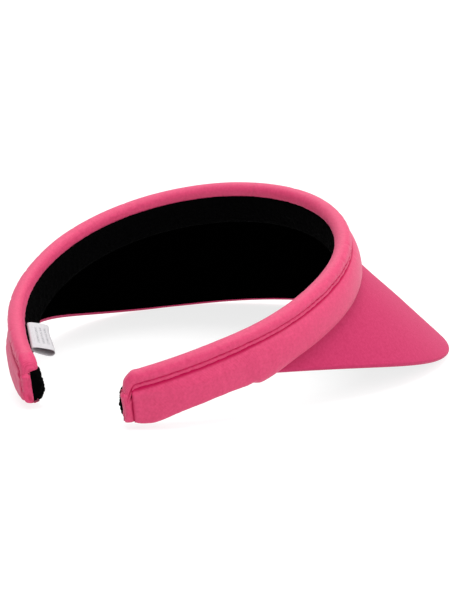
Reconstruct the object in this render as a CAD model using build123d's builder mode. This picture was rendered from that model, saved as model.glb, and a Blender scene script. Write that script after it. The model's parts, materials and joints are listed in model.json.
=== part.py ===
"""Slide-on sun visor: a padded, spring-loaded C band that grips the head, with a conical brim.

The band is laid out in its own frame: the origin is the centre of the front bend, +X is the
wearer's right, +Y points forward out of the forehead and +Z is up along the head.
REST then tilts and lifts that frame, so that the finished visor stands on z = 0, on the rim
of its brim and the two ends of its arms, as it does when it is set down on a table.
Millimetres and degrees throughout.
"""

from build123d import *

import os
from math import cos, radians, sin, tan
from typing import NamedTuple

# Plan of the band: tangent bends on each side, from the forehead round to the open back
FRONT_RADIUS = 67.0  # reference line, through the middle of the top roll
SIDE_RADIUS = 86.5
ARM_RADIUS = 120.0
FRONT_END = 90.0  # heading at which each bend ends, from straight ahead
SIDE_END = 122.0
ARM_END = 145.0

# Section of the band: distance outward from the reference line, and height above it
ROLL_RADIUS = 3.3
INNER_FACE = -ROLL_RADIUS
OUTER_FACE = 6.0
OUTER_FOOT = 5.0
BULGE_HEIGHT = -9.0
SEAM_HEIGHT = -2.6  # outer seam, between the top roll and the outer panel
LINING_TOP = -1.9  # inner seam, between the top roll and the sweatband
BAND_BOTTOM = -15.0  # where the brim leaves the band
PANEL_BOTTOM = -15.8  # the outer panel is folded up just outside the top of the brim
ARM_BOTTOM = -16.4  # the arms are a little deeper than the front
FABRIC = 0.7
TERRY = 1.6
PLY_GAP = 0.05  # free play between one layer and the next

# Spring strip that makes the band grip
STRIP_THICKNESS = 0.5
STRIP_TOP = -4.0
STRIP_BOTTOM = -12.5
STRIP_END = 142.0
STRIP_PLAY = 0.5  # room above and below the strip in the foam

# Brim: one constant slope below the band, cut to a rim that is drawn from the side
BRIM_FLARE = 33.8  # slope away from the head's axis
BRIM_TUCK = -10.0  # top of the edge that is sewn up inside the band
BRIM_REACH = -99.0  # below the rim, before it is cut
BRIM_INNER = -1.1  # inner face of the stack of layers, at the band
UNDERSIDE_PLY = 0.55
BOARD_PLY = 1.2
PADDING_PLY = 0.8
COVER_PLY = 0.75
HEM_CLEARANCE = 0.65  # from the top cover to the hem of the outer panel
EDGE_PLY = 0.7  # top cover, where it is folded round the rim
RIM_FOLD = 1.9  # width of that fold
RIM_BACK = (-43.4, -16.7)  # (forward, up) points of the rim
RIM_MIDDLE = (35.2, -59.4)
RIM_WIDE = (90.2, -84.4)
RIM_FRONT = (118.8, -91.6)
RIM_BACK_SLOPE = (1.0, -0.43)
RIM_FRONT_SLOPE = (1.0, -0.2)

# Flex point of each arm, where the spring strip bends just behind the brim
FLEX_HEADING = 125.0
FLEX_OFFSET = 0.85  # axis position, outward from the reference line
FLEX_RADIUS = 5.0  # a little over half the thickness of the band
FLEX_GAP = 0.3
FLEX_HEIGHT = -6.0
ARM_DROOP = 2.53  # each arm leans down from the plane of the band, behind its flex point

# Ends of the arms
TERRY_CAP = 2.2  # thickness of the terry that covers the end
TERRY_CAP_FACE = 2.2  # distance outward at which the terry meets the end tab
END_TAB_LENGTH = 5.0

# Topstitching along the roll
STITCH_PITCH = 2.8
STITCH_LENGTH = 2.0
THREAD_RADIUS = 0.22
STITCH_HEIGHT = -0.8  # just below the widest part of the roll

# Care label: a folded ribbon, loose on a short neck
LABEL_WIDTH = 20.0
LABEL_LENGTH = 10.0
LABEL_PLY = 0.25
LABEL_LOOP = 0.9
LABEL_NECK = 0.3  # half the thickness of the two plies where they are sewn
LABEL_MOUTH = 1.2  # distance from the seam at which the two plies part
LABEL_DROOP = 22.0
LABEL_HEADING = -133.0
LABEL_STANDOFF = 1.0

# Standing on a table
REST_TILT = 20.84
REST_SHIFT = (0.0, -33.86, 47.05)
REST = Location(REST_SHIFT) * Location((0, 0, 0), (REST_TILT, 0, 0))

FAR = 200.0  # beyond every part of the visor


class Bend(NamedTuple):
    """One circular stretch of the band: centre, radius, first heading and signed sweep."""

    centre: tuple
    radius: float
    start: float
    sweep: float


def outward(heading):
    """Direction, in plan, from the head out through the band at a heading."""
    return sin(radians(heading)), cos(radians(heading))


def tangent_centre(centre, radius, next_radius, heading):
    """Centre of the bend that carries on from another, tangent to it at a heading."""
    x, y = outward(heading)
    return centre[0] + (radius - next_radius) * x, centre[1] + (radius - next_radius) * y


def plan_point(bend, heading, offset=0.0):
    """Plan position at a heading of a bend, outward of the reference line by an offset."""
    x, y = outward(heading)
    reach = bend.radius + offset
    return bend.centre[0] + reach * x, bend.centre[1] + reach * y


def placed(plane, side=0):
    """A plane of the band's frame as it stands; side is 1 or -1 on an arm, which droops."""
    if side:
        x, y = outward(side * FLEX_HEADING)
        hinge = Plane((side * flex_x, flex_y, FLEX_HEIGHT), x_dir=(x, y, 0), z_dir=(0, 0, 1))
        droop = Location((0, 0, 0), (side * ARM_DROOP, 0, 0))
        return Plane(REST * hinge.location * droop * hinge.location.inverse() * plane.location)
    return Plane(REST * plane.location)


def section_plane(bend, heading, side=0):
    """Plane across the band: its x points outward and its y up along the head."""
    x, y = outward(heading)
    origin = (*plan_point(bend, heading), 0)
    return placed(Plane(origin, x_dir=(x, y, 0), z_dir=(y, -x, 0)), side)


def turning_axis(bend, side=0):
    """Axis that carries a section from the bend's start to its end."""
    turn = Plane((*bend.centre, 0), z_dir=(0, 0, -1 if bend.sweep > 0 else 1))
    standing = placed(turn, side)
    return Axis(standing.origin, standing.z_dir)


def mirrored(bend):
    """The same bend on the other side of the head."""
    return Bend((-bend.centre[0], bend.centre[1]), bend.radius, -bend.start, -bend.sweep)


def stretch(bend, first, last):
    """Part of a bend on the wearer's right, between two headings."""
    return Bend(bend.centre, bend.radius, first, last - first)


def arm_angle(length):
    """Angle that a length takes up along the bend of an arm."""
    return length / radians(1) / ARM_RADIUS


side_centre = tangent_centre((0, 0), FRONT_RADIUS, SIDE_RADIUS, FRONT_END)
arm_centre = tangent_centre(side_centre, SIDE_RADIUS, ARM_RADIUS, SIDE_END)
front_bend = Bend((0, 0), FRONT_RADIUS, -FRONT_END, 2 * FRONT_END)
side_bend = Bend(side_centre, SIDE_RADIUS, FRONT_END, SIDE_END - FRONT_END)
arm_bend = Bend(arm_centre, ARM_RADIUS, SIDE_END, ARM_END - SIDE_END)
brim_bends = [front_bend, side_bend, mirrored(side_bend)]
flex_bend = stretch(arm_bend, SIDE_END, FLEX_HEADING)
band_bends = [*brim_bends, flex_bend, mirrored(flex_bend)]

cap_start = ARM_END - arm_angle(TERRY_CAP)
padding_end = cap_start - arm_angle(PLY_GAP)
tab_start = ARM_END - arm_angle(END_TAB_LENGTH)
panel_end = tab_start - arm_angle(PLY_GAP)
knuckle_start = FLEX_HEADING - arm_angle(FLEX_RADIUS + FLEX_GAP)
flex_x, flex_y = plan_point(arm_bend, FLEX_HEADING, FLEX_OFFSET)


# Sections of the layers, drawn as distance outward and height


def band_outline(inset, bottom):
    """Outline of the padded band: round top, bulging outer face, flat inner face."""
    inner = INNER_FACE + inset
    shoulder = ROLL_RADIUS - inset
    foot = (OUTER_FOOT - inset, bottom + inset)
    with BuildSketch() as outline:
        with BuildLine():
            Line((inner, foot[1]), (inner, 0))
            ThreePointArc((inner, 0), (0, shoulder), (shoulder, 0))
            Line((shoulder, 0), (shoulder, SEAM_HEIGHT))
            Spline((shoulder, SEAM_HEIGHT), (OUTER_FACE - inset, BULGE_HEIGHT), foot)
            Line(foot, (inner, foot[1]))
        make_face()
    return outline.sketch


def block(left, bottom, right, top):
    """Rectangle between two corners."""
    with BuildSketch() as area:
        with Locations(((left + right) / 2, (bottom + top) / 2)):
            Rectangle(right - left, top - bottom)
    return area.sketch


def brim_layer(inner, outer):
    """One slanted layer of the brim, with the edge that is tucked up into the band."""
    run = (BAND_BOTTOM - BRIM_REACH) * tan(radians(BRIM_FLARE))
    with BuildSketch() as layer:
        with BuildLine():
            Polyline(
                (inner, BRIM_TUCK),
                (outer, BRIM_TUCK),
                (outer, BAND_BOTTOM),
                (outer + run, BRIM_REACH),
                (inner + run, BRIM_REACH),
                (inner, BAND_BOTTOM),
                close=True,
            )
        make_face()
    return layer.sketch


board_inner = BRIM_INNER + UNDERSIDE_PLY + PLY_GAP
padding_inner = board_inner + BOARD_PLY + PLY_GAP
cover_inner = padding_inner + PADDING_PLY + PLY_GAP
cover_outer = cover_inner + COVER_PLY
lining_back = INNER_FACE + TERRY
strip_inner = lining_back + PLY_GAP
strip_outer = strip_inner + STRIP_THICKNESS

front_skin = band_outline(0, PANEL_BOTTOM) - band_outline(FABRIC, PANEL_BOTTOM)
arm_outline = band_outline(0, ARM_BOTTOM)
arm_skin = arm_outline - band_outline(FABRIC, ARM_BOTTOM)
roll_zone = block(0, SEAM_HEIGHT + PLY_GAP, FAR, FAR) + block(-FAR, LINING_TOP, PLY_GAP, FAR)
panel_zone = block(strip_inner, -FAR, FAR, SEAM_HEIGHT)
over_brim = block(-FAR, -FAR, cover_outer + HEM_CLEARANCE, BRIM_TUCK - PLY_GAP)
front_roll_section = front_skin & roll_zone
arm_roll_section = arm_skin & roll_zone
roll_end_zone = block(TERRY_CAP_FACE + PLY_GAP, SEAM_HEIGHT + PLY_GAP, FAR, FAR)
roll_end_section = arm_outline & (roll_end_zone + block(-FAR, LINING_TOP, FAR, FAR))
front_panel_section = (front_skin & panel_zone) - over_brim
arm_panel_section = arm_skin & panel_zone
tab_end_section = arm_outline & block(TERRY_CAP_FACE + PLY_GAP, -FAR, FAR, SEAM_HEIGHT)
front_terry_section = block(INNER_FACE, BAND_BOTTOM, lining_back, LINING_TOP - PLY_GAP)
arm_terry_section = block(INNER_FACE, ARM_BOTTOM, lining_back, LINING_TOP - PLY_GAP)
terry_end_section = block(INNER_FACE, ARM_BOTTOM, TERRY_CAP_FACE, LINING_TOP - PLY_GAP)
strip_section = block(strip_inner, STRIP_BOTTOM, strip_outer, STRIP_TOP)
strip_pocket = block(
    -FAR, STRIP_BOTTOM - STRIP_PLAY, strip_outer + PLY_GAP, STRIP_TOP + STRIP_PLAY
)
behind_lining = block(-FAR, -FAR, strip_inner, LINING_TOP + PLY_GAP)
arm_foam_section = band_outline(FABRIC + PLY_GAP, ARM_BOTTOM) - behind_lining - strip_pocket
brim_pocket = block(-FAR, -FAR, cover_outer + HEM_CLEARANCE, BRIM_TUCK + PLY_GAP)
front_foam_section = (
    band_outline(FABRIC + PLY_GAP, PANEL_BOTTOM) - behind_lining - strip_pocket - brim_pocket
)


# Steps that several pieces share


def run(section, bends, side=0):
    """Carry a section of the band along some of its bends."""
    for bend in bends:
        with BuildSketch(section_plane(bend, bend.start, side)) as profile:
            add(section)
        revolve(profile.sketch, turning_axis(bend, side), abs(bend.sweep))


def flex_column(side, radius, mode):
    """Cut or keep a column round the flex axis of one arm, square to the plane of the arm."""
    with BuildSketch(placed(Plane.XY.offset(-FAR), side)) as profile:
        with Locations((side * flex_x, flex_y)):
            Circle(radius)
    extrude(profile.sketch, amount=2 * FAR, mode=mode)


def front_run(section):
    """Layer of the front body, hollowed out at both ends for the knuckles of the arms."""
    run(section, band_bends)
    for side in (1, -1):
        flex_column(side, FLEX_RADIUS + FLEX_GAP, Mode.SUBTRACT)


def arm_stretch(side, first, last):
    """Part of the bend of one arm, between two headings."""
    part = stretch(arm_bend, first, last)
    return part if side > 0 else mirrored(part)


def arm_run(section, side, last):
    """Layer of one arm, from its round knuckle to a heading."""
    run(section, [arm_stretch(side, knuckle_start, FLEX_HEADING)], side)
    flex_column(side, FLEX_RADIUS, Mode.INTERSECT)
    run(section, [arm_stretch(side, FLEX_HEADING, last)], side)


def end_run(section, side, first, last):
    """Layer near the end of one arm, between two headings."""
    run(section, [arm_stretch(side, first, last)], side)


def rim_cut(fold):
    """Keep what lies above the rim, moved back up the brim by the width of a fold."""
    back = -fold * sin(radians(BRIM_FLARE))
    lift = fold * cos(radians(BRIM_FLARE))
    points = [(y + back, z + lift) for y, z in (RIM_BACK, RIM_MIDDLE, RIM_WIDE, RIM_FRONT)]
    with BuildSketch(placed(Plane.YZ)) as profile:
        with BuildLine():
            Spline(*points, tangents=(RIM_BACK_SLOPE, RIM_FRONT_SLOPE))
            Polyline(
                points[-1],
                (FAR, points[-1][1]),
                (FAR, 0),
                (points[0][0], 0),
                points[0],
            )
        make_face()
    extrude(profile.sketch, amount=FAR, both=True, mode=Mode.INTERSECT)


def stitch_run(bends, side=0):
    """Row of separate stitches along the roll."""
    offset = ROLL_RADIUS + THREAD_RADIUS + PLY_GAP
    for bend in bends:
        length = radians(abs(bend.sweep)) * (bend.radius + offset)
        count = int(length / STITCH_PITCH)
        step = bend.sweep / count
        half = step * STITCH_LENGTH / STITCH_PITCH / 2
        for number in range(count):
            middle = bend.start + (number + 0.5) * step
            with BuildSketch(section_plane(bend, middle - half, side)) as profile:
                with Locations((offset, STITCH_HEIGHT)):
                    Circle(THREAD_RADIUS)
            revolve(profile.sketch, turning_axis(bend, side), abs(2 * half))


# Front body: the brim and the part of the band that it is sewn to

with BuildPart() as brim_underside:
    run(brim_layer(BRIM_INNER, BRIM_INNER + UNDERSIDE_PLY), brim_bends)
    rim_cut(RIM_FOLD)

with BuildPart() as brim_board:
    run(brim_layer(board_inner, board_inner + BOARD_PLY), brim_bends)
    rim_cut(EDGE_PLY + PLY_GAP)

with BuildPart() as brim_padding:
    run(brim_layer(padding_inner, padding_inner + PADDING_PLY), brim_bends)
    rim_cut(EDGE_PLY + PLY_GAP)

with BuildPart() as below_fold:
    run(brim_layer(BRIM_INNER - UNDERSIDE_PLY, board_inner - PLY_GAP), brim_bends)
    rim_cut(RIM_FOLD - PLY_GAP)

with BuildPart() as fold_zone:
    run(brim_layer(board_inner - PLY_GAP, cover_inner), brim_bends)
    rim_cut(EDGE_PLY)

with BuildPart() as brim_cover:
    run(brim_layer(BRIM_INNER, cover_outer), brim_bends)
    rim_cut(0)
    add(below_fold.part, mode=Mode.SUBTRACT)
    add(fold_zone.part, mode=Mode.SUBTRACT)

with BuildPart() as front_panel:
    front_run(front_panel_section)

with BuildPart() as front_foam:
    front_run(front_foam_section)

with BuildPart() as front_roll:
    front_run(front_roll_section)

with BuildPart() as front_sweatband:
    front_run(front_terry_section)

with BuildPart() as front_topstitch:
    stitch_run(brim_bends)

with BuildPart() as spring_strip:
    run(strip_section, band_bends)
    end_run(strip_section, 1, FLEX_HEADING, STRIP_END)
    end_run(strip_section, -1, FLEX_HEADING, STRIP_END)


# Arms: the wearer's right, then the wearer's left

with BuildPart() as right_panel:
    arm_run(arm_panel_section, 1, panel_end)

with BuildPart() as right_foam:
    arm_run(arm_foam_section, 1, padding_end)

with BuildPart() as right_roll:
    arm_run(arm_roll_section, 1, ARM_END)
    end_run(roll_end_section, 1, cap_start, ARM_END)

with BuildPart() as right_sweatband:
    arm_run(arm_terry_section, 1, ARM_END)
    end_run(terry_end_section, 1, cap_start, ARM_END)

with BuildPart() as right_end_tab:
    end_run(arm_panel_section, 1, tab_start, padding_end)
    end_run(tab_end_section, 1, padding_end, ARM_END)

with BuildPart() as right_topstitch:
    stitch_run([arm_stretch(1, FLEX_HEADING, padding_end)], 1)

with BuildPart() as left_panel:
    arm_run(arm_panel_section, -1, panel_end)

with BuildPart() as left_foam:
    arm_run(arm_foam_section, -1, padding_end)

with BuildPart() as left_roll:
    arm_run(arm_roll_section, -1, ARM_END)
    end_run(roll_end_section, -1, cap_start, ARM_END)

with BuildPart() as left_sweatband:
    arm_run(arm_terry_section, -1, ARM_END)
    end_run(terry_end_section, -1, cap_start, ARM_END)

with BuildPart() as left_end_tab:
    end_run(arm_panel_section, -1, tab_start, padding_end)
    end_run(tab_end_section, -1, padding_end, ARM_END)

with BuildPart() as left_topstitch:
    stitch_run([arm_stretch(-1, FLEX_HEADING, padding_end)], -1)


# Care label, sewn into the inner seam of the left arm
label_bend = mirrored(arm_bend)
label_x, label_y = plan_point(label_bend, LABEL_HEADING, INNER_FACE - LABEL_STANDOFF)
label_right, label_forward = outward(LABEL_HEADING)
label_level = -cos(radians(LABEL_DROOP))
label_drop = -sin(radians(LABEL_DROOP))
label_plane = placed(
    Plane(
        (label_x, label_y, LINING_TOP),
        x_dir=(label_level * label_right, label_level * label_forward, label_drop),
        z_dir=(-label_forward, label_right, 0),
    ),
    -1,
)
with BuildPart() as care_label:
    with BuildSketch(label_plane):
        with BuildLine() as ribbon:
            neck = Line((0, LABEL_NECK), (LABEL_NECK, LABEL_NECK))
            shoulder_x = LABEL_LENGTH - LABEL_LOOP
            upper = Spline(
                neck @ 1, (shoulder_x, LABEL_LOOP), tangents=((1, 0), (1, 0))
            )
            fold = ThreePointArc(upper @ 1, (LABEL_LENGTH, 0), (shoulder_x, -LABEL_LOOP))
            lower = Spline(
                fold @ 1, (LABEL_NECK, -LABEL_NECK), tangents=((-1, 0), (-1, 0))
            )
            Polyline(lower @ 1, (0, -LABEL_NECK), (0, LABEL_NECK))
        make_face()
    extrude(amount=LABEL_WIDTH / 2, both=True)
    with BuildSketch(label_plane):
        with BuildLine():
            inner = LABEL_LOOP - LABEL_PLY
            mouth = (LABEL_MOUTH, 0)
            upper = Spline(mouth, (shoulder_x, inner), tangents=((1, 0.05), (1, 0)))
            fold = ThreePointArc(upper @ 1, (shoulder_x + inner, 0), (shoulder_x, -inner))
            Spline(fold @ 1, mouth, tangents=((-1, 0), (-1, 0.05)))
        make_face()
    extrude(amount=LABEL_WIDTH, both=True, mode=Mode.SUBTRACT)


os.makedirs("parts", exist_ok=True)
brim_underside.part.label = "brim_underside"
export_step(brim_underside.part, "parts/brim_underside.step")
brim_board.part.label = "brim_board"
export_step(brim_board.part, "parts/brim_board.step")
brim_padding.part.label = "brim_padding"
export_step(brim_padding.part, "parts/brim_padding.step")
brim_cover.part.label = "brim_cover"
export_step(brim_cover.part, "parts/brim_cover.step")
front_panel.part.label = "front_panel"
export_step(front_panel.part, "parts/front_panel.step")
front_foam.part.label = "front_foam"
export_step(front_foam.part, "parts/front_foam.step")
front_roll.part.label = "front_roll"
export_step(front_roll.part, "parts/front_roll.step")
front_sweatband.part.label = "front_sweatband"
export_step(front_sweatband.part, "parts/front_sweatband.step")
front_topstitch.part.label = "front_topstitch"
export_step(front_topstitch.part, "parts/front_topstitch.step")
spring_strip.part.label = "spring_strip"
export_step(spring_strip.part, "parts/spring_strip.step")
right_panel.part.label = "right_panel"
export_step(right_panel.part, "parts/right_panel.step")
right_foam.part.label = "right_foam"
export_step(right_foam.part, "parts/right_foam.step")
right_roll.part.label = "right_roll"
export_step(right_roll.part, "parts/right_roll.step")
right_sweatband.part.label = "right_sweatband"
export_step(right_sweatband.part, "parts/right_sweatband.step")
right_end_tab.part.label = "right_end_tab"
export_step(right_end_tab.part, "parts/right_end_tab.step")
right_topstitch.part.label = "right_topstitch"
export_step(right_topstitch.part, "parts/right_topstitch.step")
left_panel.part.label = "left_panel"
export_step(left_panel.part, "parts/left_panel.step")
left_foam.part.label = "left_foam"
export_step(left_foam.part, "parts/left_foam.step")
left_roll.part.label = "left_roll"
export_step(left_roll.part, "parts/left_roll.step")
left_sweatband.part.label = "left_sweatband"
export_step(left_sweatband.part, "parts/left_sweatband.step")
left_end_tab.part.label = "left_end_tab"
export_step(left_end_tab.part, "parts/left_end_tab.step")
left_topstitch.part.label = "left_topstitch"
export_step(left_topstitch.part, "parts/left_topstitch.step")
care_label.part.label = "care_label"
export_step(care_label.part, "parts/care_label.step")
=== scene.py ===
"""Looks of the slide-on sun visor: covers, linings, terry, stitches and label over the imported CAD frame."""

import json
from math import cos, pi, radians, sin

import bpy
import numpy as np
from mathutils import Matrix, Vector


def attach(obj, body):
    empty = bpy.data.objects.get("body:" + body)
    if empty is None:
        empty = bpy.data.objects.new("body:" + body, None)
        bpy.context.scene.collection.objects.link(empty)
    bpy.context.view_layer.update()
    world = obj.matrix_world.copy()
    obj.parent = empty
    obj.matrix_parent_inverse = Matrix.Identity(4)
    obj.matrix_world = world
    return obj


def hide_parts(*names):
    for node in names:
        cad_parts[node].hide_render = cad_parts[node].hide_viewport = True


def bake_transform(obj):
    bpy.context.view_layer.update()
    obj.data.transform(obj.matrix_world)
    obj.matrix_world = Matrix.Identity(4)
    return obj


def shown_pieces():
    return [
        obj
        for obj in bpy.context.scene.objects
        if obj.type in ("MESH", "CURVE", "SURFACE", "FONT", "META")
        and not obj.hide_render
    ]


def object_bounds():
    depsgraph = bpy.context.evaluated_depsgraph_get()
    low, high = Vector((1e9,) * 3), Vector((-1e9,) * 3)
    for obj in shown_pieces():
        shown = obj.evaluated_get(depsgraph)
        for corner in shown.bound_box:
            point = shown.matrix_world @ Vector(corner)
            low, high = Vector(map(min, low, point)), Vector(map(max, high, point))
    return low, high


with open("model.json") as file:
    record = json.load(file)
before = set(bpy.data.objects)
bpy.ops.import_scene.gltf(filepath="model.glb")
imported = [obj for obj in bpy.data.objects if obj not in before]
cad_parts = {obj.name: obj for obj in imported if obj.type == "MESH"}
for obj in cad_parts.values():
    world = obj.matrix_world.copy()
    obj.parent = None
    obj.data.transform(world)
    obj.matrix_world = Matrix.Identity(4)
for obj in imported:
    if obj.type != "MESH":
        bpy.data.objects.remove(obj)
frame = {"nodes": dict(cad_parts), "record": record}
cad_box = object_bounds()
joints = {joint["name"]: joint for joint in frame["record"]["behaviour"]["joints"]}

# Plan of the band, in millimetres and degrees: tangent bends from the forehead to the open back
FRONT_RADIUS = 67.0
SIDE_RADIUS = 86.5
ARM_RADIUS = 120.0
FRONT_END = 90.0
SIDE_END = 122.0
ARM_END = 145.0
FLEX_HEADING = 125.0
MOUNT_HEIGHT = -6.0  # height in the band of the stated head_band mount and of the flex pivots
ARM_DROOP = 2.53  # each arm leans down behind its flex point
ARM_DEEPER = 0.5  # how much deeper the arms are than the front
ARM_TWIST = 10.0  # how far the fabric's lower edge turns outward at the end of an arm
END_SKEW = 0.18  # how far each end leans back, for each millimetre below the roll

# Brim
BRIM_FLARE = 33.8
BRIM_INNER = -1.1
BRIM_THICKNESS = 2.87  # square to its surface
BAND_BOTTOM = -15.0
RIM = ((-43.4, -16.7), (35.2, -59.4), (90.2, -84.4), (118.8, -91.6))
RIM_BACK_SLOPE = (1.0, -0.43)
RIM_FRONT_SLOPE = (1.0, -0.2)
RIM_FOLD = 1.7

# Stitches
STITCH_PITCH = 2.8
STITCH_ANGLE = -12.7  # place of the stitch line round the roll
STITCH_REACH = 3.16  # from the roll's middle out to the thread
THREAD_RADIUS = 0.19

# Soft parts
ROLL_GIRTH = 18.0  # distance over the roll from seam to seam
PANEL_GIRTH = 18.0
LOOP_BACK = 12.0  # breadth of cloth that the map gives to the hidden side of a cover
TAB_WIDTH = 3.2  # from the seam of the end fold to the end of the arm
TIP_SAG = 5.5  # how far the roll's outer side hangs at the tip of an arm
TIP_DROOP = 1.1  # how far the whole tip of the roll hangs
TIP_LENGTH = 3.4  # stretch over which the roll closes
TERRY_MIDDLE = -0.5  # offset of the arm's core, which the terry turns round at the end
TERRY_REACH = 2.75
STEP = 0.5  # spacing of the rows of the roll and the panel
GRID = 1.0  # spacing of the simulated sheets
SIM_SCALE = 0.05  # simulated units for each millimetre
SIM_FRAMES = 20
SEED = 11
MOTTLE = 0.6  # share of the fine colour variation in a cloth's tone, against its weave
SIDES = ((1, "right"), (-1, "left"))

# Seeded noise# Seeded noise, the same on every run

def lattice(column, row, seed):
    """Repeatable random number from 0 to 1 at each lattice point."""
    mixed = (column * 374761393 + row * 668265263 + seed * 1442695041) & 0xFFFFFFFF
    mixed = ((mixed ^ (mixed >> 13)) * 1274126177) & 0xFFFFFFFF
    return ((mixed ^ (mixed >> 16)) & 0xFFFF) / 65535


def noise(across, along, seed):
    """Smooth noise from -1 to 1 with features about one unit apart."""
    across, along = np.broadcast_arrays(np.asarray(across, float), np.asarray(along, float))
    column = np.floor(across).astype(np.int64)
    row = np.floor(along).astype(np.int64)
    part_u = across - column
    part_v = along - row
    part_u = part_u * part_u * (3 - 2 * part_u)
    part_v = part_v * part_v * (3 - 2 * part_v)
    low = lattice(column, row, seed) * (1 - part_u) + lattice(column + 1, row, seed) * part_u
    high = lattice(column, row + 1, seed) * (1 - part_u) + lattice(column + 1, row + 1, seed) * part_u
    return (low * (1 - part_v) + high * part_v) * 2 - 1


def bell(value, centre, width):
    """Smooth bump of height 1 round a centre."""
    return np.exp(-(((value - centre) / width) ** 2))


def ramp(value, start, end):
    """Smooth rise from 0 at start to 1 at end."""
    part = np.clip((value - start) / (end - start), 0, 1)
    return part * part * (3 - 2 * part)


def resample(points, count):
    """Evenly spaced points along a polyline rounded by three passes of corner cutting."""
    points = np.asarray(points, float)
    for _ in range(3):
        first = 0.75 * points[:-1] + 0.25 * points[1:]
        second = 0.25 * points[:-1] + 0.75 * points[1:]
        middle = np.stack([first, second], 1).reshape(-1, points.shape[1])
        points = np.vstack([points[:1], middle, points[-1:]])
    steps = np.linalg.norm(np.diff(points, axis=0), axis=1)
    travel = np.concatenate([[0], np.cumsum(steps)])
    wanted = np.linspace(0, travel[-1], count)
    return np.stack([np.interp(wanted, travel, points[:, k]) for k in range(points.shape[1])], -1)


def blend_values(first, second, share):
    """Values that go from the first to the second as the share goes from 0 to 1."""
    return first * (1 - share) + second * share


# Frame of the band, from the stated head_band mount
head_mount = next(mount for mount in frame["record"]["mounts"] if mount["name"] == "head_band")
up = Vector(head_mount["axis"]).normalized()
right = Vector((1, 0, 0))
ahead = up.cross(right)
band_origin = Vector(head_mount["pos_m"]) - up * MOUNT_HEIGHT / 1000


def outward(heading):
    """Direction in plan from the head out through the band, for headings in degrees."""
    angle = np.radians(heading)
    return np.stack([np.sin(angle), np.cos(angle)], -1)


side_centre = (FRONT_RADIUS - SIDE_RADIUS) * outward(FRONT_END)
arm_centre = side_centre + (SIDE_RADIUS - ARM_RADIUS) * outward(SIDE_END)
FRONT_LENGTH = radians(FRONT_END) * FRONT_RADIUS
SIDE_LENGTH = FRONT_LENGTH + radians(SIDE_END - FRONT_END) * SIDE_RADIUS
ARM_LENGTH = SIDE_LENGTH + radians(ARM_END - SIDE_END) * ARM_RADIUS
FLEX_LENGTH = SIDE_LENGTH + radians(FLEX_HEADING - SIDE_END) * ARM_RADIUS
BAND_AXES = np.array([right, ahead, up])


def to_row(points):
    """Band frame in millimetres to the row frame in metres."""
    return np.asarray(points) @ BAND_AXES / 1000 + np.array(band_origin)


def heading_at(length):
    """Heading at a length along one half of the band from the forehead."""
    length = np.asarray(length, float)
    front = np.degrees(length / FRONT_RADIUS)
    side = FRONT_END + np.degrees((length - FRONT_LENGTH) / SIDE_RADIUS)
    arm = SIDE_END + np.degrees((length - SIDE_LENGTH) / ARM_RADIUS)
    return np.where(length < FRONT_LENGTH, front, np.where(length < SIDE_LENGTH, side, arm))


def arm_lean(length):
    """Lean of the arm in radians, and the drop that it has built up, at lengths along the band."""
    step = np.linspace(FLEX_LENGTH - 14, FLEX_LENGTH + 14, 57)
    part = (step - step[0]) / 28
    lean = radians(ARM_DROOP) * part * part * (3 - 2 * part)
    fallen = np.concatenate([[0], np.cumsum((lean[1:] + lean[:-1]) / 2 * np.diff(step))])
    beyond = np.maximum(length - step[-1], 0) * radians(ARM_DROOP)
    return np.interp(length, step, lean), np.interp(length, step, fallen) + beyond


def band_points(length, offset, height, side):
    """Points at lengths along one half of the band, offsets outward and heights, in millimetres."""
    length, offset, height = np.broadcast_arrays(length, offset, height)
    twist = radians(ARM_TWIST) * ramp(length, SIDE_LENGTH - 8, ARM_LENGTH)
    turned = height * np.cos(twist) + offset * np.sin(twist)
    offset = offset * np.cos(twist) - height * np.sin(twist)
    skew = END_SKEW * ramp(length, ARM_LENGTH - 16, ARM_LENGTH - 2)
    lean, drop = arm_lean(length)
    length = length + (turned - MOUNT_HEIGHT) * lean - (turned + 4) * skew
    height = turned - drop
    heading = heading_at(length)
    on_arm = heading > SIDE_END
    on_front = heading < FRONT_END
    centre = np.where(on_arm[..., None], arm_centre, side_centre)
    centre = np.where(on_front[..., None], 0.0, centre)
    radius = np.where(on_front, FRONT_RADIUS, np.where(on_arm, ARM_RADIUS, SIDE_RADIUS))
    plan = centre + (radius + offset)[..., None] * outward(heading)
    return np.stack([plan[..., 0] * side, plan[..., 1], height], -1)


# Meshes


def make_object(name, vertices, faces, uv=None, crease=None):
    """Smooth-shaded mesh object, with an optional map in millimetres and share of painted crease shade."""
    mesh = bpy.data.meshes.new(name)
    mesh.from_pydata(vertices.reshape(-1, 3).tolist(), [], faces)
    mesh.validate()
    if uv is not None:
        layer = mesh.uv_layers.new(name="cloth")
        corner = np.zeros(len(mesh.loops), np.int32)
        mesh.loops.foreach_get("vertex_index", corner)
        layer.data.foreach_set("uv", uv.reshape(-1, 2)[corner].astype(np.float32).ravel())
    if crease is not None:
        shade = mesh.attributes.new("crease", "FLOAT", "POINT")
        shade.data.foreach_set("value", crease.astype(np.float32).ravel())
    mesh.polygons.foreach_set("use_smooth", [True] * len(mesh.polygons))
    piece = bpy.data.objects.new(name, mesh)
    bpy.context.scene.collection.objects.link(piece)
    return piece


def tube_faces(rows, columns, flip):
    """Quads of a tube: every row is a closed loop, and the first and last rows are capped."""
    faces = []
    for i in range(rows - 1):
        for j in range(columns):
            after = (j + 1) % columns
            quad = [i * columns + j, i * columns + after, (i + 1) * columns + after, (i + 1) * columns + j]
            faces.append(quad[::-1] if flip else quad)
    start = list(range(columns))
    end = [(rows - 1) * columns + j for j in range(columns)]
    faces.append(start if flip else start[::-1])
    faces.append(end[::-1] if flip else end)
    return faces


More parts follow.
